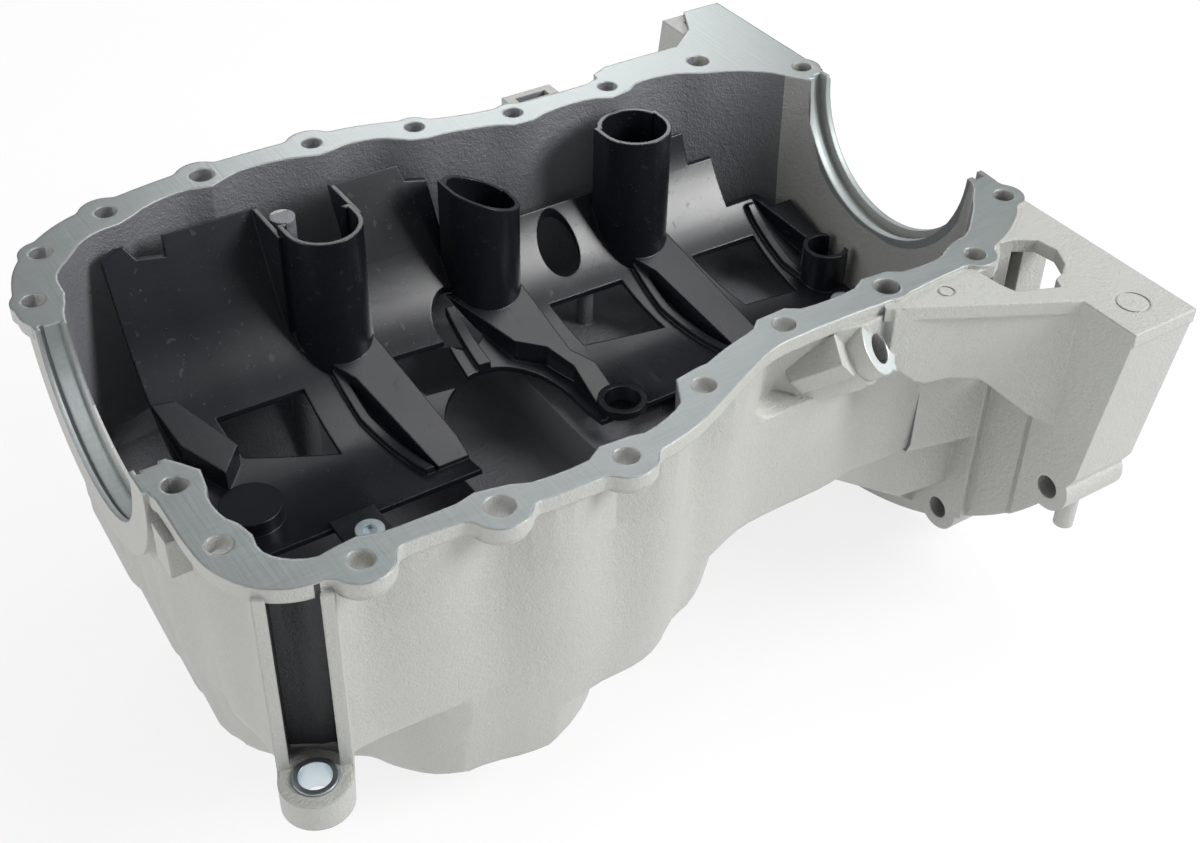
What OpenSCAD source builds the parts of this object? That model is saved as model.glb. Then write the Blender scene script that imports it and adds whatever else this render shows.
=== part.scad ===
// Engine oil pan: cast aluminium pan with a moulded windage tray.
// The pan is drawn in the engine's frame: X runs along the crankshaft with the gearbox face at 0, Y is across
// and Z is up from the machined rail. The last lines move the whole pan so that it stands over its own origin.

/* [Pan] */
// Length from the gearbox face to the front seal face
pan_l = 390; // [386:1:396]
// Thickness of the machined rail
rail_t = 6; // [5:0.5:8]
// Depth of the main floor under the rail
floor_depth = 102; // [98:1:106]
// Depth of the middle step
step_depth = 128; // [118:1:136]
// Depth of the deep sump
sump_depth = 155; // [144:1:168]
// Thickness of the floors
floor_t = 5; // [4:0.5:7]
// Inward lean of the outer wall per millimetre of depth
outer_draft = 0.075; // [0.06:0.005:0.085]
// Inward lean of the inner wall per millimetre of depth
inner_draft = 0.04; // [0.03:0.005:0.05]
// Inward lean of the wall below the main floor per millimetre of depth
deep_draft = 0.2; // [0.17:0.01:0.22]
// Radius where the outer wall turns into the floor
edge_r = 8; // [5:0.5:10]

/* [Rail bolts] */
// Diameter of a rail bolt hole
bolt_d = 9; // [8:0.1:10]
// Diameter of the four wide rail bolt holes
bolt_wide_d = 10.6; // [10:0.1:11.4]
// Radius of the lug round a rail bolt
lug_r = 11.5; // [10:0.5:13]
// Radius kept free of the cavity round a rail bolt
land_r = 10.5; // [9:0.5:12]
// Room between a rail bolt hole and the wall under the rail
flute_gap = 1; // [0.5:0.1:1.5]
// Length of the skirt that hangs under the outer lugs
skirt_l = 2; // [1:0.5:6]

/* [Seal seats] */
// Offset of both seal seats from the middle of the pan
seal_y = 2; // [0:0.5:3]
// Radius of the front seal seat lips
front_seal_r = 47; // [44:0.5:49]
// Radius of the rear seal seat lips
rear_seal_r = 51.5; // [49:0.5:54]
// Depth of the grooves in the seal seats
seal_groove = 3; // [1.5:0.5:4]
// Outer radius of the ring round the front seal seat
front_ring_r = 60; // [57:1:64]

/* [Gearbox flange] */
// Outer radius of the gearbox flange
flange_r = 180; // [176:1:184]
// Depth of the flange along the crankshaft
flange_d = 34; // [30:1:38]
// Thickness of the flange rim and the ear walls
rim_t = 8; // [6:0.5:10]
// Thickness of the flange web
web_t = 8; // [6:0.5:10]
// Radius of the gearbox bolt circle
flange_bolt_r = 175.4; // [172:0.2:177]
// Diameter of the gearbox bolt holes
flange_bolt_d = 10.5; // [9:0.5:12]
// Radius of the bosses round the gearbox bolts
flange_boss_r = 11; // [10:0.5:12]
// Reach of the near ear from the middle of the pan
near_reach = 170; // [166:1:174]
// Reach of the far ear from the middle of the pan
far_reach = 145; // [140:1:150]

/* [Foot] */
// Depth of the foot's lower face under the rail
foot_depth = 98; // [94:1:104]
// Radius of the foot
foot_r = 13; // [12:0.5:15]
// Thickness of the foot
foot_t = 12; // [10:0.5:14]
// Outer diameter of the steel sleeve
sleeve_od = 16; // [15:0.5:18]
// Bore of the steel sleeve
sleeve_id = 12; // [10:0.5:13]
// Height by which the sleeve stands out of the foot
sleeve_proud = 1; // [0.5:0.1:1.5]

/* [Sensor boss] */
// Diameter of the sensor boss face
sensor_d = 25; // [23:0.5:26]
// Drilled diameter of the sensor thread
sensor_bore = 12.4; // [11:0.1:13]
// Depth of the sensor thread
sensor_depth = 20; // [14:1:22]

/* [Windage tray] */
// Inner radius of the tray bays about the crankshaft
tray_r = 88; // [86:0.5:88.5]
// Wall thickness of the tray
tray_t = 2.2; // [1.8:0.1:2.6]
// Outer radius of the return tubes
tube_r = 17; // [15:0.5:18]

/* [Fixings] */
// Head diameter of a tray screw
screw_head_d = 12; // [10:0.5:14]
// Shank diameter of a tray screw
screw_d = 6; // [5:0.5:6]
// Diameter of the drain thread
drain_d = 16; // [14:1:18]
// Width across the flats of the drain plug
drain_af = 19; // [17:1:22]

/* [Hidden] */
$fn = 48;
eps = 0.01;
fit_gap = 0.1;
rear_wall = 16;
screw_l = 6;
washer_t = 1.5;
front_x = -pan_l;

// Rail bolt places, from the front round the near side
near_bolts = [
    [front_x + 14.2, -59.3], [front_x + 15.3, -94.3], [-339.5, -124.3], [-289.4, -126], [-239.5, -127.1],
    [-193.5, -109.1], [-145.3, -94.7], [-95, -96], [-49.1, -97], [-7, -69.9]
];
far_bolts = [
    [front_x + 9.4, 68.8], [front_x + 22.5, 99.4], [-335, 115.1], [-290.1, 122.1], [-238.4, 122.5],
    [-193, 111.8], [-148.5, 100.2], [-97.8, 99], [-46.2, 97.8], [-7, 67.1]
];
bolts = concat(near_bolts, far_bolts);
wide_bolts = [near_bolts[3], near_bolts[7], far_bolts[3], far_bolts[8]];
// Bolts whose lugs stand out of the rail and hang under it
skirt_bolts = [for (i = [2:4]) each [near_bolts[i], far_bolts[i]]];

// Bolts whose flutes in the wall end at the ledge
short_flutes = [near_bolts[6], near_bolts[8]];

// Inner edge of the rail between the bolts, counter-clockwise from the front
cavity_line = [
    [front_x + 15, 25], [front_x + 15, -10], [front_x + 15.5, -40], [front_x + 19.5, -58],
    [front_x + 20.5, -75], [front_x + 21.5, -90], [front_x + 25, -104], [front_x + 33, -113],
    [-344, -117.5], [-322, -117], [-300, -118], [-275, -121.5], [-250, -122.5], [-228, -120.5], [-210, -115],
    [-196, -106], [-180, -97.5], [-162, -92.5], [-142, -90.5], [-120, -91], [-98, -91], [-78, -92], [-60, -91.5],
    [-44, -86], [-30, -75], [-19, -65.5], [-11.5, -57], [-9.5, -30], [-9.5, 30], [-11.5, 54],
    [-19, 66], [-30, 76], [-46, 86], [-62, 93], [-80, 95.5], [-100, 93], [-122, 94], [-145, 93], [-165, 96],
    [-182, 100], [-198, 104.5], [-212, 111.5], [-228, 114.5], [-246, 115.5], [-268, 117.5], [-290, 116.5],
    [-310, 113.5], [-328, 108.5], [-345, 102.5], [front_x + 32, 94], [front_x + 23, 82], [front_x + 19, 68],
    [front_x + 15.5, 50]
];

// Outer edge of the rail between the lugs, counter-clockwise from the front
rail_line = [
    [front_x + 6, 36], [front_x + 6, 24], [front_x + 6, 12], [front_x + 6, 0], [front_x + 6, -12],
    [front_x + 6, -24], [front_x + 6, -36], [front_x + 6, -48], [front_x + 6, -60], [front_x + 6, -72],
    [front_x + 6, -88],
    [front_x + 8, -104], [front_x + 16, -118], [front_x + 30, -126], [-340, -126.5], [-322, -125.5],
    [-301, -127], [-278, -131], [-255, -132.5], [-230, -131], [-210, -127], [-190, -118.5], [-175, -111.5],
    [-158, -105], [-140, -103.5], [-116, -103.5], [-95, -104], [-75, -102.5], [-55, -101], [-38, -97],
    [-22, -90], [-8, -79], [-1.5, -62], [-0.5, -30], [-0.5, 30], [-1.5, 60], [-6, 80], [-18, 96],
    [-36, 107], [-60, 110], [-85, 108], [-105, 106], [-125, 106], [-145, 107], [-165, 109.5], [-183, 114.5],
    [-200, 121.5], [-220, 127], [-245, 129], [-270, 129.5], [-292, 129], [-312, 127], [-334, 123],
    [front_x + 36, 117], [front_x + 20, 106], [front_x + 9, 92], [front_x + 3, 74], [front_x + 1, 60], [front_x + 5, 48]
];

// Inside of the deep sump and of the middle step near their bottoms, counter-clockwise from the front
sump_line = [
    [front_x + 23, 60], [front_x + 22, 20], [front_x + 23, -20], [front_x + 27, -44], [-350, -60], [-335, -69],
    [-323, -77], [-316, -89], [-305, -100], [-285, -108], [-268, -111], [-248, -107], [-230, -93], [-225, -60], [-226, -10], [-228, 40],
    [-236, 72], [-262, 86], [-300, 88], [-338, 86], [front_x + 31, 78]
];
step_line = [
    [-262, 30], [-262, -40], [-254, -88], [-238, -107], [-222, -108], [-207, -108], [-188, -99], [-174, -88],
    [-173, -66], [-182, -20], [-182, 40], [-190, 68], [-214, 80], [-246, 70]
];

// Reach of the deep sump and of the middle step under the fluted wall; only the rear and far sides show
sump_reach = [
    [front_x + 19, 60], [front_x + 18, 20], [front_x + 20, -24], [front_x + 25, -48], [-352, -65],
    [-337, -73.5], [-325.5, -81], [-319, -91], [-308, -102.5], [-293, -109.5], [-275, -116], [-251, -110], [-233, -97], [-225.5, -80],
    [-224, -60], [-224, -10],
    [-226, 40], [-234, 74], [-262, 89], [-300, 91], [-338, 89], [front_x + 31, 81]
];
step_reach = [
    [-262, 30], [-270, -40], [-270, -110], [-250, -145], [-224, -125], [-207, -112], [-189, -102], [-174, -90],
    [-171, -66], [-180, -20], [-180, 40], [-188, 70], [-214, 83], [-246, 73]
];

// Smooth closed curve through the given points
function spline(p, n) = let (m = len(p)) [
    for (i = [0:m - 1], j = [0:n - 1])
        let (a = p[(i + m - 1) % m], b = p[i], c = p[(i + 1) % m], d = p[(i + 2) % m], t = j / n)
            (2 * b + (c - a) * t + (2 * a - 5 * b + 4 * c - d) * t * t + (3 * b - a - 3 * c + d) * t * t * t) / 2
];
// Pushes a point out of the round land of every bolt near it
function push(q, r, i = 0) = i == len(bolts) ? q :
    let (v = q - bolts[i], d = norm(v))
        push(d > 4 * r ? q : bolts[i] + v * pow(pow(d, 4) + pow(r, 4), 1 / 4) / d, r, i + 1);
// Unit normal that points into the curve at its point i
function inward(p, i) = let (m = len(p), v = p[(i + 1) % m] - p[(i + m - 1) % m]) [-v[1], v[0]] / norm(v);
// Inward dent of the wall at a point with unit normal n, so that it clears every bolt hole near it
function dent(q, n, depth) = max([
    for (b = bolts)
        let (deep = (b - q) * n, side = norm(b - q - deep * n))
            side > 40 || abs(deep) > 20 || (depth > ledge_z && among(b, short_flutes)) ? 0
            : (deep + bolt_d / 2 + flute_gap) * exp(-side * side / 160)
]);
// Flat recess of the near wall round the sensor boss, above a ledge
function recess(q, depth) = q[1] > 0 || depth > ledge_z ? 0
    : recess_in * max(0, min(1, (q[0] + 157) / 3, (-90 - q[0]) / 4));
function shifted(p, d) = [for (i = [0:len(p) - 1]) p[i] + inward(p, i) * d];
function among(q, list) = len([for (p = list) if (p == q) 1]) > 0;
function at_z(p, z) = [for (q = p) [q[0], q[1], z]];

// Flutes that stand out of the front wall under the seal ring
function ripple(q) = q[0] < front_x + 12 && abs(q[1] + 18) < 54 ? 1.6 * (1 - cos(q[1] * 15)) : 0;

// Solid through rings of equal length, each a list of points, closed by a fan at both ends
module loft(rings) {
    m = len(rings[0]);
    k = len(rings);
    first = [for (c = [0:2]) [for (q = rings[0]) q[c]] * [for (q = rings[0]) 1] / m];
    last = [for (c = [0:2]) [for (q = rings[k - 1]) q[c]] * [for (q = rings[0]) 1] / m];
    points = concat([for (r = rings) for (q = r) q], [first, last]);
    sides = [
        for (j = [0:k - 2], i = [0:m - 1])
            let (a = j * m + i, b = j * m + (i + 1) % m)
                each [[a, b, b + m], [a, b + m, a + m]]
    ];
    top = [for (i = [0:m - 1]) [k * m, (i + 1) % m, i]];
    base = [for (i = [0:m - 1]) [k * m + 1, (k - 1) * m + i, (k - 1) * m + (i + 1) % m]];
    polyhedron(points = points, faces = concat(sides, top, base));
}

// Levels of a wall that leans inwards and turns into a flat bottom: [depth, inset]
function levels(top, bottom, draft, r) = concat(
    [for (t = [0:0.5:1]) let (z = top + (bottom - r - top) * t) [z, draft * z]],
    [for (a = [30:30:90]) [bottom - r + r * sin(a), draft * (bottom - r) + r * (1 - cos(a))]]
);

ledge_z = 37;
recess_in = 7;
foot_at = [front_x + 24, -129];
leg_angle = -114.8;
leg_centre = [front_x + 22, -122];
leg_clear = 11;
wall_ring = spline(rail_line, 3);
cavity_ring = spline(cavity_line, 3);

// Ring of the fluted outer wall at a depth, set in by an inset
function wall_at(depth, inset) = let (fade = max(1 - 0.8 * depth / floor_depth, 0.2))
    at_z([
        for (i = [0:len(wall_ring) - 1])
            let (q = wall_ring[i], n = inward(wall_ring, i), leg = norm(q - leg_centre - 4 * n))
                let (flute = fade * max(dent(q, n, depth), leg_clear * exp(-leg * leg / 200)))
                    q + n * (0.6 + inset + max(flute, recess(q, depth)) - ripple(q) * min(depth / 60, 1))
    ], -depth);

module wall_solid()
    loft(concat(
        [for (d = [rail_t / 2, ledge_z - 2, ledge_z + 2, 60]) wall_at(d, outer_draft * d)],
        [for (a = [0:30:90])
            wall_at(floor_depth - edge_r * (1 - sin(a)),
                outer_draft * (floor_depth - edge_r) + edge_r * (1 - cos(a)))]
    ));

// The same wall carried on below the main floor, down to a deeper bottom
module deep_wall(bottom) {
    knee = outer_draft * floor_depth + 0.3;
    side = bottom - edge_r;
    loft([
        wall_at(floor_depth - edge_r - 4, knee - outer_draft * (edge_r + 4)),
        for (d = [floor_depth + 1.7, (floor_depth + side) / 2, side])
            wall_at(d, knee + deep_draft * (d - floor_depth)),
        for (a = [30:30:90])
            wall_at(side + edge_r * sin(a), knee + deep_draft * (side - floor_depth) + edge_r * (1 - cos(a)))
    ]);
}

module cavity_solid() {
    inner = levels(0, floor_depth - floor_t, inner_draft, edge_r);
    loft([
        for (l = concat([[-2, 0]], inner))
            at_z(shifted([for (q = cavity_ring) push(q, land_r * (1 - 0.7 * max(l[0], 0) / floor_depth))], l[1]),
                -l[0])
    ]);
}

// Solid below the main floor on a line near its bottom, set in by an inset
module pocket(line, bottom, inset)
    loft([
        for (l = levels(floor_depth - 14 + 0.4 * inset, bottom, 0, edge_r))
            at_z(shifted(spline(line, 3), l[1] + inset - pocket_lean * (bottom - l[0])), -l[0])
    ]);

module along_x(x0, x1)
    translate([x0, 0, 0])
        rotate([90, 0, 90])
            linear_extrude(x1 - x0)
                children();

module rod_x(r, x0, x1, y = 0, z = 0)
    translate([x0, y, z])
        rotate([0, 90, 0])
            cylinder(r = r, h = x1 - x0);

module rail_plate()
    translate([0, 0, -rail_t])
        linear_extrude(rail_t)
            offset(r = -5)
                offset(r = 5) {
                    polygon(spline(rail_line, 5));
                    for (b = bolts)
                        translate(b)
                            circle(r = among(b, skirt_bolts) ? lug_r : lug_r - 2.5, $fn = 36);
                }

// Height of the near ear's top, and reach of the flange's sides at their corner
ear_z = -1.5;
side_y = 158.4;
// Length from the gearbox face to the start of the flare under the floor
flare_l = 106;
flare_half = 93;
spot_r = 18;
channel = 3.5;

// Places of the gearbox bolts in the flange plane, near side first
flange_bolts = [for (a = [212.8, 238.8, 301.2, 327.2]) flange_bolt_r * [cos(a), sin(a)]];

module flange_shape(inset)
    intersection() {
        circle(r = flange_r - inset);
        polygon([
            [-near_reach + inset, ear_z + inset], [-side_y + inset, -95], [-150 + inset, -130], [-150 + inset, -200],
            [150 - inset, -200], [150 - inset, -130], [side_y - inset, -95], [far_reach - inset, ear_z + inset]
        ]);
    }

module flange() {
    along_x(-flange_d, 0)
        difference() {
            flange_shape(0);
            flange_shape(rim_t);
        }
    along_x(-flange_d, -flange_d + web_t) flange_shape(0);
    for (b = flange_bolts)
        rod_x(flange_boss_r, -flange_d, 0, b[0], b[1]);
    along_x(-rear_wall, 0)
        polygon([
            [-94, -2], [-94, 12 - floor_depth], [-84, -floor_depth], [84, -floor_depth], [94, 12 - floor_depth],
            [94, -2]
        ]);
    for (a = [225, 255, 285, 315])
        rotate([a - 270, 0, 0])
            translate([-flange_d + 2, -3, -flange_r + 2])
                cube([flange_d - 2, 6, flange_r - 96]);
}

// Sloping wall between the floor's underside and the flange: half its width, and its inset from the outside
module flare(half, wall)
    hull() {
        along_x(-flare_l + 1.4 * wall, -flare_l + 1.4 * wall + 1)
            translate([-half + 9, -floor_depth - wall / 2])
                square([2 * half - 18, wall == 0 ? 6 : 1]);
        along_x(-flange_d + 3, -flange_d + 4 + wall)
            intersection() {
                circle(r = flange_r - 3 - wall);
                translate([-half, -200])
                    square([2 * half, 200 - floor_depth - wall / 2 + (wall == 0 ? 6 : 1)]);
            }
    }

module near_ear() {
    translate([0, 0, ear_z - rail_t])
        linear_extrude(rail_t)
            polygon([
                [0, -60], [0, -near_reach], [-flange_d, -near_reach], [-flange_d, -143], [-104, -106],
                [-98, -92], [-30, -84]
            ]);
    // Bent gusset web from the ear down to a point on the flange
    intersection() {
        translate([0, 0, -80])
            linear_extrude(78)
                polygon([
                    [-flange_d + 1, -142.6], [-73.6, -118.5], [-101, -108.7], [-103, -103], [-75, -113],
                    [-flange_d + 1, -137]
                ]);
        rotate([90, 0, 0])
            linear_extrude(150)
                polygon([
                    [-33, 0], [-105, 0], [-105, -20], [-97, -31], [-88.5, -38.6], [-84.5, -40.2], [-75, -39.3],
                    [-64, -39.8], [-61, -42], [-43, -59.3], [-35.5, -64], [-33, -65]
                ]);
    }
}

module far_ear()
    translate([0, 0, -rail_t])
        linear_extrude(rail_t)
            polygon([
                [0, 60], [0, far_reach], [-21, far_reach], [-30, 128], [-46, 116], [-88, 116], [-97, 112], [-100, 98],
                [-30, 90]
            ]);

// Front corner leg: two ribs down to a foot that holds the sleeve
module leg()
    translate([foot_at[0], foot_at[1], 0])
        rotate([0, 0, leg_angle]) {
            for (side = [-1, 1])
                translate([-24, side * (foot_r - 2.2) - 2.2, -foot_depth + 1])
                    cube([19.5, 4.4, foot_depth - 5]);
            translate([-20, -foot_r, -foot_depth + 1])
                cube([20, 2 * foot_r, foot_t - 2]);
            translate([0, 0, -foot_depth])
                cylinder(r = foot_r, h = foot_t);
        }

sensor_at = [-108, -110, -16.5];
sensor_dir = [0.50, -0.65, 0.59];
base_back = 8;

// Turns the Z axis to the sensor's direction, with its own origin on the boss face
module at_sensor()
    translate(sensor_at)
        rotate([0, acos(sensor_dir[2] / norm(sensor_dir)), atan2(sensor_dir[1], sensor_dir[0])])
            children();

// Cylinder with a pointed edge on a wider base that runs back into the wall, and the ramp of the wall beside it
module sensor_boss() {
    translate([0, 0, -ledge_z - 1])
        linear_extrude(ledge_z - 4)
            polygon([[-147, -88], [-124, -104], [-112, -106.5], [-97, -104], [-89, -95], [-91, -86]]);
    at_sensor() {
        translate([0, 0, -base_back - 1])
            linear_extrude(base_back + 1) {
                translate([-1.5, 1])
                    circle(d = sensor_d);
                polygon([[0, 10], [0.55 * sensor_d, 3], [0, -9]]);
            }
        translate([0, 0, -base_back - 24])
            linear_extrude(24) {
                circle(d = sensor_d);
                polygon([[-18, -11], [-11, 14], [0, 15], [0, -15], [-8, -18]]);
            }
    }
}

module front_details() {
    // Cast block beside the seal ring
    translate([front_x + 3, -76, -24])
        cube([12, 12, 16]);
    // Slotted lug box on the far rail
    difference() {
        translate([-144, 100, -16])
            cube([26, 18, 14]);
        translate([-139, 110, -8])
            cube([16, 4.5, 8]);
    }
}

drain_at = [-300, 10];
drain_face = sump_depth + 5;
pocket_lean = 0.18;

// Joins the lofted pieces of one skin, at their own size
module skin()
    resize([0, 0, 0])
        union()
            children();

module outer_skin()
    skin() {
        wall_solid();
        intersection() {
            deep_wall(sump_depth);
            pocket(sump_reach, sump_depth, 0);
        }
        intersection() {
            deep_wall(step_depth);
            pocket(step_reach, step_depth, 0);
        }
        flare(flare_half, 0);
    }

module inner_skin()
    skin() {
        cavity_solid();
        pocket(sump_line, sump_depth - floor_t, floor_t);
        pocket(step_line, step_depth - floor_t, floor_t);
    }

module casting_outside() {
    rail_plate();
    outer_skin();
    intersection() {
        rod_x(front_ring_r, front_x + 3.5, front_x + 24, seal_y);
        translate([front_x - 1, -100, -100]) cube([40, 200, 100 - eps]);
    }
    for (b = skirt_bolts)
        translate([b[0], b[1], -rail_t - skirt_l])
            cylinder(r = lug_r - 1, h = skirt_l + 2);
    flange();
    near_ear();
    far_ear();
    leg();
    sensor_boss();
    front_details();
    translate([drain_at[0], drain_at[1], -drain_face])
        cylinder(r = 15, h = 12);
    // Column of the near wall beside the flange, below the ledge, with a rounded foot
    translate([-flange_d, -104.5, 0])
        rotate([0, 0, -14])
            along_x(-33, 3)
                polygon([
                    [0, -ledge_z - 4], [0, edge_r - floor_depth], [0.3 * edge_r, 0.3 * edge_r - floor_depth],
                    [edge_r, -floor_depth], [20, -floor_depth], [20, -ledge_z - 4]
                ]);
    // Cast pin under the flange
    translate([-8, -141.5, -132.5])
        cylinder(d = 9, h = 26);
}

module casting_cuts() {
    inner_skin();
    rod_x(front_seal_r, front_x - 1, front_x + 40, seal_y);
    rod_x(front_seal_r + 1.5, front_x + 7, front_x + 14, seal_y);
    rod_x(front_seal_r + seal_groove, front_x + 5.5, front_x + 7, seal_y);
    rod_x(rear_seal_r, -20, 1, seal_y);
    rod_x(rear_seal_r + 2.2, -12, -8, seal_y);
    rod_x(rear_seal_r + seal_groove + 1.5, -8, -3, seal_y);
    for (b = bolts) {
        translate([b[0], b[1], -rail_t - skirt_l - 1])
            cylinder(d = among(b, wide_bolts) ? bolt_wide_d : bolt_d, h = rail_t + skirt_l + 2);
    }
    for (b = flange_bolts)
        rod_x(flange_bolt_d / 2, -flange_d - 1, 1, b[0], b[1]);
    flare(flare_half - 27, rim_t);
    // Room for the bolt heads in the flare's slope
    for (i = [1, 2])
        rod_x(spot_r, -flange_d - 40, -flange_d, flange_bolts[i][0], flange_bolts[i][1]);
    // Channel between the bolt columns of the flange's front
    translate([0, 0, -flange_r - 10])
        linear_extrude(flange_r - 52)
            polygon([
                [-flange_d - 1, -105], [-flange_d + channel, -105], [-flange_d + channel, -127],
                [-flange_d, -132], [-flange_d - 1, -133]
            ]);
    // Rings that the ejectors leave on the ear
    for (q = [[-18, -153.5, 7], [-75.6, -109.2, 3.6]])
        translate([q[0], q[1], ear_z - 0.4])
            difference() {
                cylinder(r = q[2], h = 1);
                translate([0, 0, -1]) cylinder(r = q[2] - 0.8, h = 3);
            }
    // Through pocket of the near ear
    translate([0, 0, -60])
        linear_extrude(70)
            polygon([
                [-33, -95], [-26, -96], [-18, -101.5], [-16.5, -111], [-21, -120], [-27, -124.5], [-32, -126],
                [-34.5, -131], [-52, -124], [-54, -117], [-55, -106], [-46, -106], [-39, -101.5]
            ]);
    translate([foot_at[0], foot_at[1], -foot_depth - 1])
        cylinder(d = sleeve_od + 2 * fit_gap, h = foot_t + 3);
    at_sensor()
        translate([0, 0, -sensor_depth])
            cylinder(d = sensor_bore, h = sensor_depth + 1);
    translate([drain_at[0], drain_at[1], -drain_face - 1])
        cylinder(d = drain_d + 2 * fit_gap, h = 14);
}

// Posts inside the pan, each [x, y, top, radius, foot]: two with bare machined tops, three under the tray screws
posts = [[-270, 86.5, -8, 5.5, -sump_depth + 2], [-134, 60, -76, 4, -floor_depth + 2]];
pillar_r = 6.8;
tab_z = -84;
screws = [[-296, -34, tab_z, -sump_depth + 2], [-120, -34, tab_z, -floor_depth + 2], [-30, -6, -tray_r, -floor_depth + 2]];

module sump_casting()
    color("silver") {
        difference() {
            casting_outside();
            casting_cuts();
        }
        for (p = posts)
            translate([p[0], p[1], p[4]])
                cylinder(r = p[3], h = p[2] - p[4]);
        for (p = screws)
            difference() {
                translate([p[0], p[1], p[3]])
                    cylinder(r = pillar_r, h = p[2] - tray_t - p[3]);
                translate([p[0], p[1], p[2] - tray_t - screw_l])
                    cylinder(d = screw_d + 2 * fit_gap, h = screw_l + 1);
            }
    }

// Ring sector about the crankshaft: radii, x range, and angles measured from straight down towards the far side
module sector(r0, r1, x0, x1, a0, a1)
    translate([x0, 0, 0])
        rotate([0, 90, 0])
            rotate([0, 0, a0])
                rotate_extrude(angle = a1 - a0)
                    translate([r0, 0])
                        square([r1 - r0, x1 - x0]);

tray_front = front_x + 44;
tray_rear = -17;
tube_y = 67;
tube_x = [-260.5, -185, -104];
tube_back = 75;
rim_z = -4;

module tube_shape(r)
    union() {
        circle(r = r);
        translate([-r, 0]) square([2 * r, tube_back - tube_y - (tube_r - r)]);
    }

// Room on the inner side of the tray's bays and far panel, drawn across the crankshaft
module tray_room(grow)
    union() {
        circle(r = tray_r + grow);
        polygon([[0, 0], [78.4 + grow, -40], [95.7 + grow, -6], [95.7 + grow, 0]]);
    }

module tray_shell() {
    difference() {
        sector(tray_r, tray_r + tray_t, tray_front, tray_rear, -13, 72);
        sector(tray_r - 1, tray_r + tray_t + 1, tray_front - 1, -88, 63, 75);
    }
    // Far panel of the two front bays, with its stepped top edge
    intersection() {
        along_x(tray_front, -198)
            polygon([[78.4, -40], [95.7, -6], [95.7 + tray_t, -7], [78.4 + tray_t - 0.2, -41]]);
        translate([0, 150, 0])
            rotate([90, 0, 0])
                linear_extrude(150)
                    polygon([
                        [tray_front, -60], [tray_front, -9], [-336, -6], [-332, -12], [-320, -14], [-319, -6], [-211, -6],
                        [-209, -13], [-199, -15], [-198, -60]
                    ]);
    }
}

module shell_holes() {
    translate([-205, 56, -100]) cylinder(r = 11.5, h = 60);
    translate([-144, 68, -100]) cylinder(r = 10, h = 70);
}

module tubes()
    intersection() {
        union() {
            for (x = tube_x)
                translate([x, tube_y, -80])
                    linear_extrude(80 + rim_z)
                        tube_shape(tube_r);
            // Side walls between the first tube and the panel
            for (x = [tube_x[0] - tube_r - tray_t, tube_x[0] + tube_r])
                translate([x, tube_back - 6, -60])
                    cube([tray_t, 26, 60 - 6]);
        }
        along_x(tray_front, tray_rear) tray_room(tray_t / 2);
    }

// Flat chord that the rib beams lie under, across the crankshaft
chord = [[62, -61], [-10, -86]];

module rib(plan_beam, plan_strip, x) {
    intersection() {
        along_x(x - 40, x + 40)
            intersection() {
                circle(r = tray_r + tray_t / 2);
                polygon([chord[0] + [8, 2.8], chord[1] - [14, 4.9], [-30, -120], [90, -120]]);
            }
        translate([x, 0, -120]) linear_extrude(120) polygon(plan_beam);
    }
    intersection() {
        sector(tray_r - 3, tray_r + tray_t / 2, x - 40, x + 40, -9, 44);
        translate([x, 0, -120]) linear_extrude(120) polygon(plan_strip);
    }
}

module ribs() {
    beam = [[-20, 66], [15, 62], [25, -9], [9, -9], [-2, 42], [-8, 52]];
    strip = [[-9, 60], [-5, 60], [-3, 30], [7, -9], [3, -9], [-7, 30]];
    rib(beam, strip, tube_x[0]);
    rib(beam, strip, tube_x[2]);
    rib([[-20, 66], [15, 62], [17, 20], [24, 10], [24, -9], [13, -9], [14, 12], [8, 25], [-4, 33], [-12, 50]],
        [[-24, 60], [-20, 60], [-16, 34], [-18, 30], [-22, 34]], tube_x[1]);
    // Rearmost rib, without a tube
    rib([[-36, 66], [-17, 66], [-17, 20], [-21, 24], [-28, 44]],
        [[-41, 66], [-37, 66], [-34, 30], [-28, 10], [-31, 10], [-38, 30]], 0);
}

module tray_pads() {
    // Raised strip and round pad at the front end
    intersection() {
        along_x(tray_front, tray_front + 40)
            intersection() {
                circle(r = tray_r + tray_t / 2);
                polygon([chord[0] + [8, 2.8], chord[1] - [14, 4.9], [-30, -120], [90, -120]]);
            }
        translate([tray_front, 0, -120])
            linear_extrude(120)
                polygon([[0, 62], [10, 60], [24, 32], [14, 22], [3, 40]]);
    }
    intersection() {
        translate([-329, 6, -100]) cylinder(r = 13, h = 19);
        rod_x(tray_r + tray_t / 2, tray_front, -300);
    }
    // Collar of the round hole
    intersection() {
        translate([-163, -15, -100]) cylinder(r = 11, h = 18);
        rod_x(tray_r + tray_t / 2, -200, -100);
    }
    // Tabs under the screws
    for (i = [0, 1])
        translate([screws[i][0] - 10, -43, tab_z - tray_t])
            cube([20, 26, tray_t]);
    translate([screws[2][0], screws[2][1], -tray_r - tray_t])
        cylinder(r = screw_head_d / 2 + 2, h = tray_t);
    // Lip round the rear opening
    intersection() {
        translate([-24, 17, -100]) cylinder(r = 11, h = 32);
        rod_x(tray_r + tray_t / 2, -60, tray_rear);
    }
}

module slot(points, z0)
    translate([0, 0, z0])
        linear_extrude(100)
            polygon(points);

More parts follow.
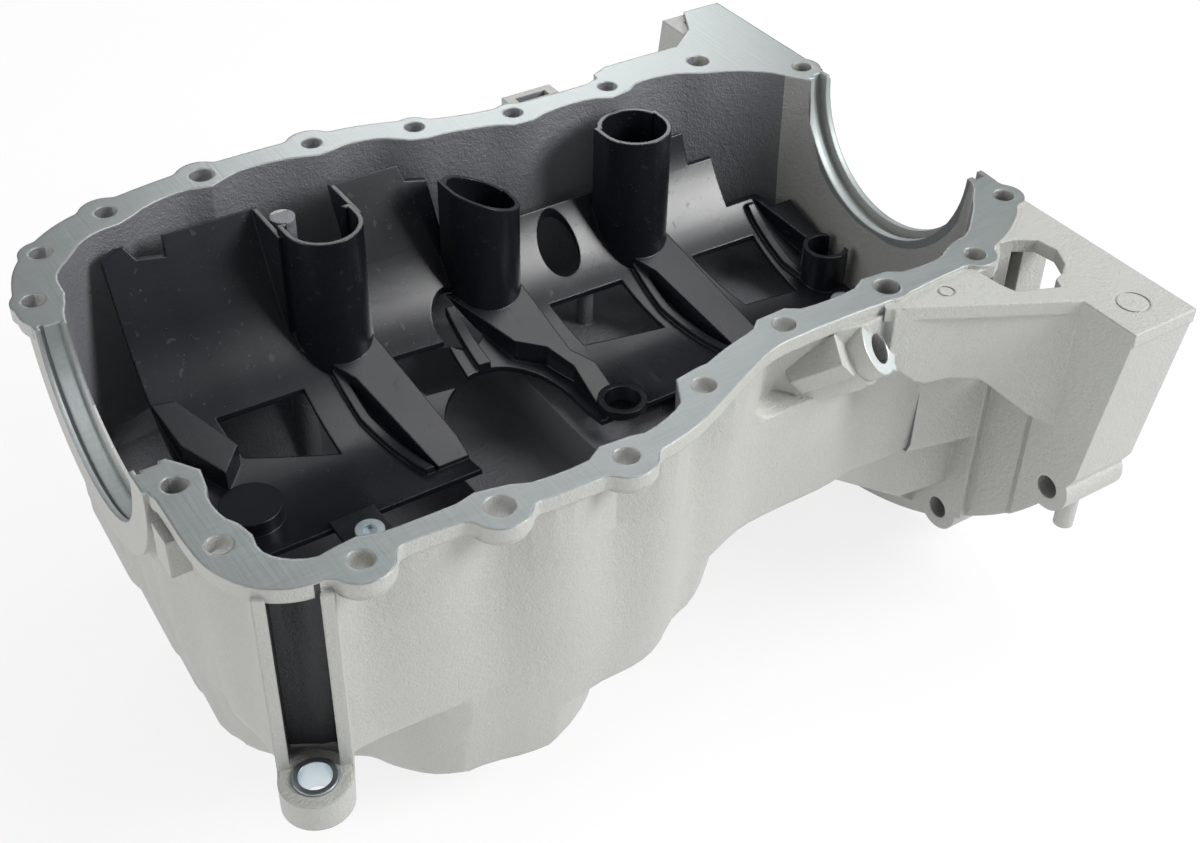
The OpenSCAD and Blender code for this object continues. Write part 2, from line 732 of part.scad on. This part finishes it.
module tray_cuts() {
    for (x = tube_x)
        translate([x, tube_y, -100])
            linear_extrude(101)
                tube_shape(tube_r - tray_t);
    // Recess behind the first tube
    translate([tube_x[0] - tube_r, tube_back, -44])
        cube([2 * tube_r, 40, 50]);
    // The middle tube's top slopes down to the rear
    translate([-204, 40, -5])
        rotate([0, 24, 0])
            cube([60, 60, 40]);
    // Windows, one per bay
    slot([[-323, 52], [-283, 51.5], [-282, 20], [-320, 34]], -100);
    slot([[-243, 51.5], [-214, 50.5], [-213, 30], [-235, 32]], -100);
    slot([[-160, 50.5], [-120, 50], [-114, 22], [-155, 28]], -100);
    slot([[-80, 49.5], [-43, 49], [-41, 15], [-70, 18]], -100);
    // Large round cut-out over the sump
    translate([-207, 4, -100]) cylinder(r = 30, h = 40);
    translate([-237, -60, -100]) cube([60, 64, 40]);
    // Round hole in its collar
    translate([-163, -15, -101]) cylinder(r = 8, h = 40);
    translate([-24, 17, -100]) cylinder(r = 11 - tray_t, h = 60);
    for (p = screws)
        translate([p[0], p[1], p[2] - 20]) {
            cylinder(d = screw_d + 2 * fit_gap + 0.4, h = 40);
            translate([0, 0, 20])
                cylinder(r = screw_head_d / 2 + 1, h = 20);
        }
    // Stepped edge of the rear bay
    translate([-64, 60, -42]) cube([50, 40, 50]);
    translate([-50, 58, -62]) cube([40, 50, 62]);
    translate([-30, 54, -78]) cube([20, 50, 78]);
}

module windage_tray()
    color([0.09, 0.09, 0.11])
        difference() {
            union() {
                difference() {
                    tray_shell();
                    shell_holes();
                }
                tubes();
                ribs();
                tray_pads();
            }
            tray_cuts();
        }

module foot_sleeve()
    color("gainsboro")
        translate([foot_at[0], foot_at[1], -foot_depth])
            difference() {
                cylinder(d = sleeve_od, h = foot_t + sleeve_proud);
                translate([0, 0, -1]) cylinder(d = sleeve_id, h = foot_t + sleeve_proud + 2);
            }

module tray_screws()
    color("gainsboro")
        for (p = screws)
            translate([p[0], p[1], p[2]]) {
                difference() {
                    cylinder(d = screw_head_d, h = 4.5);
                    translate([0, 0, 2])
                        cylinder(d = 5.8, h = 3, $fn = 6);
                }
                translate([0, 0, -tray_t - screw_l + 0.5])
                    cylinder(d = screw_d, h = tray_t + screw_l);
            }

module drain_washer()
    color("peru")
        translate([drain_at[0], drain_at[1], -drain_face - washer_t])
            difference() {
                cylinder(d = drain_d + 8, h = washer_t);
                translate([0, 0, -1]) cylinder(d = drain_d, h = washer_t + 2);
            }

module drain_plug()
    color("slategray")
        translate([drain_at[0], drain_at[1], -drain_face - washer_t]) {
            cylinder(d = drain_d - 2 * fit_gap, h = washer_t + 11);
            translate([0, 0, -2.5]) cylinder(d = drain_d + 9, h = 2.5);
            translate([0, 0, -9]) cylinder(d = drain_af / cos(30), h = 7, $fn = 6);
        }

frame_shift = [pan_l / 2, (near_reach - side_y) / 2, flange_r];

translate(frame_shift) {
    sump_casting();
    windage_tray();
    foot_sleeve();
    tray_screws();
    drain_plug();
    drain_washer();
}
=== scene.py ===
"""Engine oil pan: the finishes of its pieces, a studio floor, the lamps and the camera."""

import math

import bpy
from bpy.props import FloatProperty, FloatVectorProperty, PointerProperty
from mathutils import Matrix, Vector


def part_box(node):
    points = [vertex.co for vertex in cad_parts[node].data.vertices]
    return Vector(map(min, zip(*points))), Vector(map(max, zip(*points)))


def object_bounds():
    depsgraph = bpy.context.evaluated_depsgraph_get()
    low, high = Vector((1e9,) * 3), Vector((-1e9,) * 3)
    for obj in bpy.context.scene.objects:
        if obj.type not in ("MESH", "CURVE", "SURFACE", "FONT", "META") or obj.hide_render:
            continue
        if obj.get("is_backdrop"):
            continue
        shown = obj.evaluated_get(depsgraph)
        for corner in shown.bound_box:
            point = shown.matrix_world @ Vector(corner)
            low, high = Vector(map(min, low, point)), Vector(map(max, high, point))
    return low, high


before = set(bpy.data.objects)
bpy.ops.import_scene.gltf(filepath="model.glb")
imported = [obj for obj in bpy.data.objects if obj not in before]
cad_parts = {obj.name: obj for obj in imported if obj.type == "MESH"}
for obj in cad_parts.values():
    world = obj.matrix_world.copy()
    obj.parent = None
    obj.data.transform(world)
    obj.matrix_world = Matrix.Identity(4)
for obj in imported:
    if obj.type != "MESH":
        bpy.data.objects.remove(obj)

bl_info = {
    "name": "Engine Oil Pan",
    "version": (1, 0, 0),
    "blender": (4, 5, 0),
    "location": "View3D > Sidebar > Oil Pan",
    "description": "Dresses a cast oil pan and its windage tray, and sets up a studio round it",
    "category": "Object",
}

# The casting's own box and the crankshaft's axis, in metres as all places here
PAN_LOW, PAN_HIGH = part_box("sump_casting")
RAIL_TOP = PAN_HIGH.z
CRANK_Y = 0.0078

# Milled faces: how near its plane a face lies and how squarely it faces
MILLED_NEAR = 0.0004
MILLED_FACING = 0.9

# Seal seats: depth along the crankshaft, the radius that they keep within, and their turn to its axis
REAR_SEAT_DEPTH, REAR_SEAT_RADIUS = 0.0135, 0.0575
FRONT_SEAT_DEPTH, FRONT_SEAT_RADIUS = 0.0150, 0.0512
SEAT_INWARD = -0.001

# Milled ring of the sensor boss, painted lighter as a highlight: its middle, its direction and its radius
SENSOR_FACE = (0.0870, -0.1042, 0.1635)
SENSOR_WAY = (0.4945, -0.6428, 0.5835)
SENSOR_FACING = 0.995
SENSOR_RADIUS = 0.0125

# Inside of the pan, where the walls get painted shade: heights, ends, and half widths from the crankshaft's
# axis
RAIL_SKIN = 0.0003
FLOOR_TOP = 0.080
FLOOR_LOW, FLOOR_HIGH = 0.026, 0.100
FLOOR_FRONT, FLOOR_REAR = -0.178, 0.172
FLOOR_FACING = 0.5
ROOM_FRONT, ROOM_REAR, ROOM_HALF = -0.168, 0.150, 0.088
WIDE_REAR, WIDE_HALF = 0.020, 0.1165
SEAT_ROOM_REAR, SEAT_ROOM_HALF = PAN_HIGH.x - 0.0215, 0.090
END_MIDDLE, END_REAR, END_HALF, END_FACING = -0.005, 0.158, 0.085, -0.02
SUMP_MIDDLE, SUMP_REAR, SUMP_LOW, SUMP_FACING = -0.100, 0.030, 0.034, -0.001
STEP_REAR = 0.018
CORNER_START = 0.100
SIDE_FACING = -0.3

# Hollow of the leg, painted darker as shade: its foot, its direction in degrees, half width, reach from the
# foot and lower end
LEG_FOOT = (-0.1710, -0.1232)
LEG_TURN = -114.8
HOLLOW_HALF = 0.0089
HOLLOW_INNER, HOLLOW_OUTER = -0.034, -0.006
HOLLOW_LOW = 0.0945

# Patterns of the surfaces, in waves per metre
STAIN_WAVES, CLOUD_WAVES, STREAK_WAVES, ARC_WAVES = 9.0, 26.0, 90.0, 700.0
MOULD_WAVES, FLOW_WAVES, SCUFF_WAVES, DUST_WAVES, SKIN_WAVES = 30.0, 60.0, 260.0, 900.0, 1500.0
BLOTCH_WAVES, TURNED_WAVES = 160.0, 2600.0

# Height of each bump, radius of each rounded edge, reach of the shade in crevices and colour of dust
CAST_BUMP, CAST_EDGE = 0.00060, 0.0014
TRAY_BUMP, TRAY_EDGE = 0.0005, 0.0009
METAL_BUMP, METAL_EDGE = 0.00012, 0.0004
CREVICE_REACH = 0.02
DUST_COLOUR = (0.16, 0.17, 0.19)

# Smooth shading: points nearer than the weld are one, and edges over the angle in degrees stay sharp
WELD = 0.00001
SHARP_ANGLE = 30.0

# Studio: each lamp's name, place, width and height, and the point that all lamps face
LAMPS = (
    ("key", (1.02, -0.98, 1.05), (0.75, 0.70)),
    ("side", (-1.35, 0.10, 0.75), (1.0, 0.9)),
    ("top", (0.62, 0.10, 1.45), (0.9, 0.7)),
    ("back", (0.78, 1.42, 0.95), (0.8, 0.5)),
    ("fill", (-0.60, -1.45, 0.42), (0.9, 0.6)),
)
LAMP_AIM = (0.0, 0.0, 0.1)
STUDIO_HALF = 6.0
STUDIO_GAP = 0.0002
FLOOR_GLOW = 0.80
SKY_LIGHT, SKY_GLOSS = 0.40, 0.14
WHITE = (1.0, 1.0, 1.0, 1.0)

# Camera, fitted to the photo's frame of 1200 by 843
FILM_WIDTH = 36.0
CLIP_START = 0.01
CAMERA_PLACE = Vector((-0.29604, -0.47390, 0.54814))
CAMERA_AXES = Matrix(
    (
        (0.83553, 0.33407, -0.43621),
        (-0.54907, 0.53681, -0.64059),
        (0.02016, 0.77475, 0.63195),
    )
)


class Value:
    """A number that varies over a surface: a node's socket that Python's operators work on."""

    def __init__(self, tree, socket):
        self.tree = tree
        self.socket = socket

    def _join(self, operation, first, second):
        node = self.tree.nodes.new("ShaderNodeMath")
        node.operation = operation
        for slot, item in zip(node.inputs, (first, second)):
            if isinstance(item, Value):
                self.tree.links.new(item.socket, slot)
            else:
                slot.default_value = item
        return Value(self.tree, node.outputs[0])

    def __add__(self, other):
        return self._join("ADD", self, other)

    def __radd__(self, other):
        return self._join("ADD", other, self)

    def __sub__(self, other):
        return self._join("SUBTRACT", self, other)

    def __rsub__(self, other):
        return self._join("SUBTRACT", other, self)

    def __mul__(self, other):
        return self._join("MULTIPLY", self, other)

    def __rmul__(self, other):
        return self._join("MULTIPLY", other, self)

    def __gt__(self, other):
        return self._join("GREATER_THAN", self, other)

    def __lt__(self, other):
        return self._join("LESS_THAN", self, other)

    def most(self, other):
        return self._join("MAXIMUM", self, other)

    def least(self, other):
        return self._join("MINIMUM", self, other)

    def root(self):
        return self._join("SQRT", self, 0.0)

    def within(self, low, high):
        """1 between two limits and 0 elsewhere."""
        return (self > low) * (self < high)


class Finish:
    """A material, and the one place where its nodes are made."""

    def __init__(self, name):
        self.material = bpy.data.materials.new(name)
        self.material.use_nodes = True
        self.tree = self.material.node_tree
        self.tree.nodes.clear()
        place = self.add("ShaderNodeTexCoord")
        self.place = place.outputs["Object"]
        split = self.add("ShaderNodeSeparateXYZ", values={0: self.place})
        self.x, self.y, self.z = (Value(self.tree, s) for s in split.outputs)
        facing = self.add("ShaderNodeNewGeometry")
        turn = self.add("ShaderNodeSeparateXYZ", values={0: facing.outputs["True Normal"]})
        self.nx, self.ny, self.nz = (Value(self.tree, s) for s in turn.outputs)

    def add(self, kind, settings=None, values=None):
        """Makes one node: its settings first, then its sockets from values or links."""
        node = self.tree.nodes.new(kind)
        for key, item in (settings or {}).items():
            setattr(node, key, item)
        for key, item in (values or {}).items():
            if isinstance(item, Value):
                item = item.socket
            if isinstance(item, bpy.types.NodeSocket):
                self.tree.links.new(item, node.inputs[key])
            else:
                node.inputs[key].default_value = item
        return node

    def noise(self, waves, detail=2.0, stretch=(1, 1, 1), rough=0.5, turn=0.0):
        """Noise from 0 to 1, with its scale in waves per metre."""
        move = self.add(
            "ShaderNodeMapping", values={"Vector": self.place, "Scale": stretch, "Rotation": (0, 0, turn)}
        )
        node = self.add(
            "ShaderNodeTexNoise",
            values={"Vector": move.outputs[0], "Scale": waves, "Detail": detail, "Roughness": rough},
        )
        return Value(self.tree, node.outputs["Fac"])

    def step(self, value, low, high):
        """A smooth step from 0 to 1 while a value passes from one limit to the other."""
        node = self.add(
            "ShaderNodeMapRange",
            {"interpolation_type": "SMOOTHSTEP"},
            {"Value": value, "From Min": low, "From Max": high},
        )
        return Value(self.tree, node.outputs["Result"])

    def colour(self, item):
        """A colour as a socket takes it: a link stays, and three numbers get an alpha of 1."""
        return item if isinstance(item, bpy.types.NodeSocket) else (*item, 1.0)

    def blend(self, share, first, second):
        """Mixes two colours by a share."""
        values = {0: share, 6: self.colour(first), 7: self.colour(second)}
        return self.add("ShaderNodeMix", {"data_type": "RGBA"}, values).outputs[2]

    def shade(self, colour, factor):
        """Multiplies a colour by a number."""
        grey = self.add("ShaderNodeCombineColor", values={0: factor, 1: factor, 2: factor})
        settings = {"data_type": "RGBA", "blend_type": "MULTIPLY"}
        values = {0: 1.0, 6: self.colour(colour), 7: grey.outputs[0]}
        return self.add("ShaderNodeMix", settings, values).outputs[2]

    def surface(self, height, reach, edge, strength=1.0, **values):
        """Closes the material with a bump on rounded edges and the shader's own values."""
        rounded = self.add("ShaderNodeBevel", {"samples": 6}, {"Radius": edge})
        bump = self.add(
            "ShaderNodeBump",
            values={"Height": height, "Distance": reach, "Strength": strength, "Normal": rounded.outputs[0]},
        )
        shader = self.add("ShaderNodeBsdfPrincipled", values={**values, "Normal": bump.outputs[0]})
        self.add("ShaderNodeOutputMaterial", values={0: shader.outputs[0]})


def dress(node, finish):
    """Gives a CAD node its finish."""
    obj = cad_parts[node]
    obj.data.materials.clear()
    obj.data.materials.append(finish.material)
    return obj


def soften(obj, angle):
    """Shades flat facets that meet under an angle as one smooth face, by modifiers alone."""
    tree = bpy.data.node_groups.new("soften", "GeometryNodeTree")
    tree.interface.new_socket("Geometry", in_out="INPUT", socket_type="NodeSocketGeometry")
    tree.interface.new_socket("Geometry", in_out="OUTPUT", socket_type="NodeSocketGeometry")
    start, end = tree.nodes.new("NodeGroupInput"), tree.nodes.new("NodeGroupOutput")
    weld = tree.nodes.new("GeometryNodeMergeByDistance")
    weld.inputs["Distance"].default_value = WELD
    plain = tree.nodes.new("GeometryNodeRemoveAttribute")
    plain.inputs["Name"].default_value = "custom_normal"
    smooth, crisp = (tree.nodes.new("GeometryNodeSetShadeSmooth") for _ in range(2))
    smooth.domain, crisp.domain = "FACE", "EDGE"
    smooth.inputs["Shade Smooth"].default_value = True
    crisp.inputs["Shade Smooth"].default_value = False
    edge = tree.nodes.new("GeometryNodeInputMeshEdgeAngle")
    over = tree.nodes.new("FunctionNodeCompare")
    over.operation = "GREATER_THAN"
    over.inputs[1].default_value = math.radians(angle)
    tree.links.new(edge.outputs["Unsigned Angle"], over.inputs[0])
    tree.links.new(over.outputs[0], crisp.inputs["Selection"])
    chain = (start, weld, plain, smooth, crisp, end)
    for first, second in zip(chain, chain[1:]):
        tree.links.new(first.outputs[0], second.inputs[0])
    obj.modifiers.new("soften", "NODES").node_group = tree
    weigh = obj.modifiers.new("weigh", "WEIGHTED_NORMAL")
    weigh.keep_sharp = True


def tint(name, description, default):
    """A colour that the user can change."""
    return FloatVectorProperty(name=name, description=description, subtype="COLOR", default=default)


def power(name, description, default):
    """A lamp's power that the user can change."""
    return FloatProperty(name=name, description=description, default=default, min=0, unit="POWER")


class CastingLooks(bpy.types.PropertyGroup):
    """Colours and grain of the casting, and the painted shade of its inner walls."""

    cast: tint("Cast", "Blasted outside of the casting", (0.47, 0.475, 0.45))
    # Inside: painted shade laid over the inner walls, not a colour of their own
    inside: tint("Inside", "Inner walls of the casting", (0.23, 0.235, 0.25))
    machined: tint("Machined", "Milled rail and seats", (0.365, 0.395, 0.396))
    grain: FloatProperty(
        name="Grain", description="Size of the sand grain", subtype="DISTANCE", unit="LENGTH", default=0.0009
    )


class TrayLooks(bpy.types.PropertyGroup):
    """Colour and gloss of the windage tray."""

    plastic: tint("Plastic", "Moulded black plastic", (0.0065, 0.0075, 0.0105))
    gloss: FloatProperty(
        name="Roughness",
        description="Roughness of the mould's polish",
        subtype="FACTOR",
        default=0.20,
        min=0,
        max=1,
    )


class SteelLooks(bpy.types.PropertyGroup):
    """Colours of the sleeve, the screws, the plug and its washer."""

    zinc: tint("Zinc", "Plated sleeve and screws", (0.66, 0.74, 0.78))
    plug: tint("Plug", "Plated drain plug", (0.40, 0.41, 0.42))
    copper: tint("Copper", "Washer of the drain plug", (0.72, 0.38, 0.22))


class StudioLooks(bpy.types.PropertyGroup):
    """Floor, lamps and camera."""

    floor: tint("Floor", "Pale studio floor", (0.86, 0.86, 0.86))
    lens: FloatProperty(
        name="Lens", description="Focal length", default=49.69, min=20, max=200, unit="CAMERA"
    )
    key: power("Key lamp", "Power of the key lamp, in front at the right", 27.0)
    side: power("Side lamp", "Power of the lamp at the left", 7.0)
    top: power("Top lamp", "Power of the lamp overhead", 6.0)
    back: power("Back lamp", "Power of the lamp behind", 5.5)
    fill: power("Fill lamp", "Power of the low lamp in front", 1.6)


class OILPAN_OT_casting(bpy.types.Operator):
    """Gives the casting its blasted skin with painted shade in crevices, painted shade on its inner walls
    and in the leg's hollow, and its milled faces with a painted highlight on the sensor boss's ring
    """

    bl_idname = "oilpan.casting"
    bl_label = "Casting"

    def execute(self, context):
        looks = context.scene.oilpan_casting
        f = Finish("cast_aluminium")
        off = f.y - CRANK_Y
        seats, ring, milled = self.milled_faces(f, off)
        inner, hollow = self.inner_walls(f, off)
        depth = f.step(f.z, 0.05, RAIL_TOP - 0.004)
        grain = f.noise(1 / looks.grain, 3.0, rough=0.6)
        pits = f.noise(0.35 / looks.grain, 2.0)
        clouds = f.noise(CLOUD_WAVES, 3.0)
        stains = f.noise(STAIN_WAVES, 2.0)
        streaks = f.noise(STREAK_WAVES, 3.0, stretch=(1.0, 9.0, 1.0), turn=0.35)
        arcs = f.noise(ARC_WAVES, 2.0, stretch=(1.0, 0.03, 1.0), turn=-0.2)
        crevice = f.add("ShaderNodeAmbientOcclusion", {"samples": 6}, {"Distance": CREVICE_REACH})
        open_air = f.step(Value(f.tree, crevice.outputs["AO"]), 0.15, 0.75)
        # Tone of the blasted skin: random clouds, stains and grain, darkened in crevices by painted shade
        # from ambient occlusion.
        tone_and_crevice_shade = 0.88 + clouds * 0.10 + stains * 0.08 + grain * 0.22 - (1 - open_air) * 0.30
        cast = f.shade(looks.cast, tone_and_crevice_shade)
        # Inner walls: painted shade, lighter towards the rail and darker still in the leg's hollow.
        dark = f.shade(looks.inside, (0.75 + clouds * 0.25 + depth * 0.25) * (1 - hollow * 0.72))
        # Milled faces; the sensor boss's ring is painted about twice as light as the rest, a painted
        # highlight.
        bright = f.shade(looks.machined, 0.84 + streaks * 0.22 + arcs * 0.06 + ring * 1.1)
        cut_rough = 0.30 + streaks * 0.16 + seats * 0.16
        f.surface(
            (grain * 0.7 + pits * 0.6) * (1 - milled) + arcs * 0.12 * milled,
            CAST_BUMP,
            CAST_EDGE,
            **{
                "Base Color": f.blend(milled, f.blend(inner, cast, dark), bright),
                "Roughness": (0.56 + clouds * 0.10) * (1 - milled) + cut_rough * milled,
                "Metallic": 0.55 + milled * 0.12 + inner * 0.1,
            },
        )
        soften(dress("sump_casting", f), SHARP_ANGLE)
        return {"FINISHED"}

    def milled_faces(self, f, off):
        """Masks of both seal seats, of the sensor boss's ring, and of all milled faces."""
        top = (f.z > RAIL_TOP - MILLED_NEAR) * (f.nz > MILLED_FACING)
        gearbox = (f.x > PAN_HIGH.x - MILLED_NEAR) * (f.nx > MILLED_FACING)
        drop = f.z - RAIL_TOP
        radius = (off * off + drop * drop).root()
        inward = (f.ny * off + f.nz * drop) < SEAT_INWARD
        rear_seat = (f.x > PAN_HIGH.x - REAR_SEAT_DEPTH) * (radius < REAR_SEAT_RADIUS)
        front_seat = (f.x < PAN_LOW.x + FRONT_SEAT_DEPTH) * (radius < FRONT_SEAT_RADIUS)
        seats = rear_seat.most(front_seat) * inward
        along = f.nx * SENSOR_WAY[0] + f.ny * SENSOR_WAY[1] + f.nz * SENSOR_WAY[2]
        gap = [axis - place for axis, place in zip((f.x, f.y, f.z), SENSOR_FACE)]
        away = gap[0] * gap[0] + gap[1] * gap[1] + gap[2] * gap[2]
        ring = (along > SENSOR_FACING) * (away < SENSOR_RADIUS**2)
        return seats, ring, top.most(gearbox).most(seats).most(ring)

    def inner_walls(self, f, off):
        """Masks of the inner walls with the floors and the leg's hollow, which get painted shade, and of
        that hollow alone, which gets more of it.
        """
        above = f.z > FLOOR_TOP
        in_room = off.within(-ROOM_HALF, ROOM_HALF)
        room = in_room * f.x.within(ROOM_FRONT, ROOM_REAR)
        seat_room = off.within(-SEAT_ROOM_HALF, SEAT_ROOM_HALF) * above * (f.x < SEAT_ROOM_REAR)
        beyond = f.x - f.x.most(-CORNER_START).least(CORNER_START)
        reach = (beyond * beyond + off * off).root()
        facing_in = (f.nx * beyond + f.ny * off) < reach * SIDE_FACING
        sides = facing_in * (f.x < ROOM_REAR).most(seat_room) * above.most(f.x < STEP_REAR)
        wide = in_room.most(off.within(-WIDE_HALF, WIDE_HALF) * (f.x < WIDE_REAR))
        floors = wide * f.x.within(FLOOR_FRONT, FLOOR_REAR) * f.z.within(FLOOR_LOW, FLOOR_HIGH)
        floors = floors * (f.nz > FLOOR_FACING)
        at_ends = off.within(-END_HALF, END_HALF)
        ends = at_ends * (f.nx * (f.x - END_MIDDLE) < END_FACING) * (f.x < END_REAR) * above
        sump = at_ends * (f.nx * (f.x - SUMP_MIDDLE) < SUMP_FACING) * (f.z > SUMP_LOW)
        sump = sump * room * (f.x < SUMP_REAR)
        hollow = self.leg_hollow(f)
        inner = sides.most(room * above).most(floors).most(ends).most(sump).most(hollow)
        return inner * (f.z < RAIL_TOP - RAIL_SKIN), hollow

    def leg_hollow(self, f):
        """Mask of the leg's hollow between its two ribs, where shade is painted."""
        turn = math.radians(LEG_TURN)
        east, north = f.x - LEG_FOOT[0], f.y - LEG_FOOT[1]
        out = east * math.cos(turn) + north * math.sin(turn)
        across = north * math.cos(turn) - east * math.sin(turn)
        between_ribs = across.within(-HOLLOW_HALF, HOLLOW_HALF)
        return between_ribs * out.within(HOLLOW_INNER, HOLLOW_OUTER) * (f.z > HOLLOW_LOW)


class OILPAN_OT_tray(bpy.types.Operator):
    """Gives the windage tray its black moulded plastic"""

    bl_idname = "oilpan.tray"
    bl_label = "Windage tray"

    def execute(self, context):
        looks = context.scene.oilpan_tray
        f = Finish("moulded_black_plastic")
        clouds = f.noise(MOULD_WAVES, 3.0)
        flow = f.noise(FLOW_WAVES, 3.0, stretch=(0.3, 1.0, 1.0), turn=0.5)
        skin = f.noise(SKIN_WAVES, 1.0)
        dust = f.step(f.noise(DUST_WAVES, 1.0), 0.74, 0.80)
        scuffs = f.step(f.noise(SCUFF_WAVES, 2.0, stretch=(1.0, 0.12, 1.0), turn=0.7), 0.66, 0.72)
        black = f.shade(looks.plastic, 0.9 + clouds * 0.5 + scuffs * 1.2)
        f.surface(
            clouds * 0.5 + flow * 0.4 + skin * 0.05,
            TRAY_BUMP,
            TRAY_EDGE,
            0.35,
            **{
                "Base Color": f.blend(dust * 0.25, black, DUST_COLOUR),
                "Roughness": looks.gloss + clouds * 0.10 + flow * 0.05 + dust * 0.2 + scuffs * 0.08,
            },
        )
        dress("windage_tray", f)
        return {"FINISHED"}


class OILPAN_OT_fittings(bpy.types.Operator):
    """Gives the sleeve, the screws, the drain plug and its washer their metals"""

    bl_idname = "oilpan.fittings"
    bl_label = "Sleeve, screws and plug"

    def execute(self, context):
        looks = context.scene.oilpan_steel
        metals = (
            ("zinc_plated_sleeve", looks.zinc, 0.34, "foot_sleeve"),
            ("zinc_plated_screws", looks.zinc, 0.38, "tray_screws"),
            ("plated_drain_plug", looks.plug, 0.40, "drain_plug"),
            ("copper_washer", looks.copper, 0.36, "drain_washer"),
        )
        for name, tone, rough, node in metals:
            f = Finish(name)
            turned = f.noise(TURNED_WAVES, 1.0, stretch=(0.04, 0.04, 1.0))
            blotches = f.noise(BLOTCH_WAVES, 3.0)
            f.surface(
                turned * 0.5 + blotches * 0.3,
                METAL_BUMP,
                METAL_EDGE,
                0.6,
                **{
                    "Base Color": f.shade(tone, 0.82 + blotches * 0.28),
                    "Roughness": rough + blotches * 0.14 - 0.05,
                    "Metallic": 1.0,
                },
            )
            dress(node, f)
        return {"FINISHED"}


def lamp(name, place, size, energy):
    """Adds an area lamp that faces the pan."""
    data = bpy.data.lights.new(name, "AREA")
    data.shape = "RECTANGLE"
    data.size, data.size_y = size
    data.energy = energy
    obj = bpy.data.objects.new(name, data)
    obj.location = place
    obj.rotation_mode = "QUATERNION"
    obj.rotation_quaternion = (Vector(LAMP_AIM) - Vector(place)).to_track_quat("-Z", "Y")
    bpy.context.scene.collection.objects.link(obj)


class OILPAN_OT_stage(bpy.types.Operator):
    """Makes the floor, the lamps, the world and the camera"""

    bl_idname = "oilpan.stage"
    bl_label = "Studio"

    def execute(self, context):
        looks = context.scene.oilpan_studio
        scene = context.scene
        scene.view_settings.view_transform = "Standard"
        self.floor(looks)
        self.world(scene)
        for name, place, size in LAMPS:
            lamp(name, place, size, getattr(looks, name))
        data = bpy.data.cameras.new("camera")
        data.lens = looks.lens
        data.sensor_width = FILM_WIDTH
        data.clip_start = CLIP_START
        camera = bpy.data.objects.new("camera", data)
        camera.matrix_world = Matrix.Translation(CAMERA_PLACE) @ CAMERA_AXES.to_4x4()
        scene.collection.objects.link(camera)
        scene.camera = camera
        return {"FINISHED"}

    def floor(self, looks):
        """A wide pale floor just under the pan, which glows for the camera and in reflections."""
        half = STUDIO_HALF
        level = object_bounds()[0].z - STUDIO_GAP
        mesh = bpy.data.meshes.new("floor")
        corners = [(x, y, level) for x, y in ((-half, -half), (half, -half), (half, half), (-half, half))]
        mesh.from_pydata(corners, [], [(0, 1, 2, 3)])
        obj = bpy.data.objects.new("floor", mesh)
        bpy.context.scene.collection.objects.link(obj)
        f = Finish("pale_floor")
        matt = {"Base Color": f.colour(looks.floor), "Roughness": 0.8}
        pale = f.add("ShaderNodeBsdfPrincipled", values=matt)
        glow = f.add("ShaderNodeEmission", values={"Color": WHITE, "Strength": 1.0})
        path = f.add("ShaderNodeLightPath").outputs
        seen = Value(f.tree, path["Is Camera Ray"]).most(Value(f.tree, path["Is Glossy Ray"]))
        values = {0: seen * FLOOR_GLOW, 1: pale.outputs[0], 2: glow.outputs[0]}
        mix = f.add("ShaderNodeMixShader", values=values)
        f.add("ShaderNodeOutputMaterial", values={0: mix.outputs[0]})
        mesh.materials.append(f.material)
        obj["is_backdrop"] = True

    def world(self, scene):
        """A sky that looks white, lights the pan evenly and is dim in its gloss."""
        world = bpy.data.worlds.new("studio")
        world.use_nodes = True
        tree = world.node_tree
        tree.nodes.clear()
        path = tree.nodes.new("ShaderNodeLightPath").outputs
        seen = Value(tree, path["Is Camera Ray"]).most(Value(tree, path["Is Transmission Ray"]))
        glossy = Value(tree, path["Is Glossy Ray"])
        strength = SKY_LIGHT + seen * (1 - SKY_LIGHT) - glossy * (SKY_LIGHT - SKY_GLOSS)
        back = tree.nodes.new("ShaderNodeBackground")
        tree.links.new(strength.socket, back.inputs["Strength"])
        back.inputs["Color"].default_value = WHITE
        out = tree.nodes.new("ShaderNodeOutputWorld")
        tree.links.new(back.outputs[0], out.inputs[0])
        scene.world = world


class OILPAN_PT_panel(bpy.types.Panel):
    """Lists the oil pan's operators and looks"""

    bl_idname = "OILPAN_PT_panel"
    bl_label = "Oil Pan"
    bl_space_type = "VIEW_3D"
    bl_region_type = "UI"
    bl_category = "Oil Pan"

    def draw(self, context):
        for group, operator in GROUPS:
            looks = getattr(context.scene, group)
            box = self.layout.box()
            for key in looks.__annotations__:
                box.prop(looks, key)
            box.operator(operator)


GROUPS = (
    ("oilpan_casting", "oilpan.casting"),
    ("oilpan_tray", "oilpan.tray"),
    ("oilpan_steel", "oilpan.fittings"),
    ("oilpan_studio", "oilpan.stage"),
)
LOOKS = (CastingLooks, TrayLooks, SteelLooks, StudioLooks)
CLASSES = LOOKS + (
    OILPAN_OT_casting,
    OILPAN_OT_tray,
    OILPAN_OT_fittings,
    OILPAN_OT_stage,
    OILPAN_PT_panel,
)


def register():
    for cls in CLASSES:
        bpy.utils.register_class(cls)
    for (group, _), looks in zip(GROUPS, LOOKS):
        setattr(bpy.types.Scene, group, PointerProperty(type=looks))


def unregister():
    for group, _ in GROUPS:
        delattr(bpy.types.Scene, group)
    for cls in reversed(CLASSES):
        bpy.utils.unregister_class(cls)


def main():
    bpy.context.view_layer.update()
    register()
    bpy.ops.oilpan.casting()
    bpy.ops.oilpan.tray()
    bpy.ops.oilpan.fittings()
    bpy.ops.oilpan.stage()


if __name__ == "__main__":
    main()
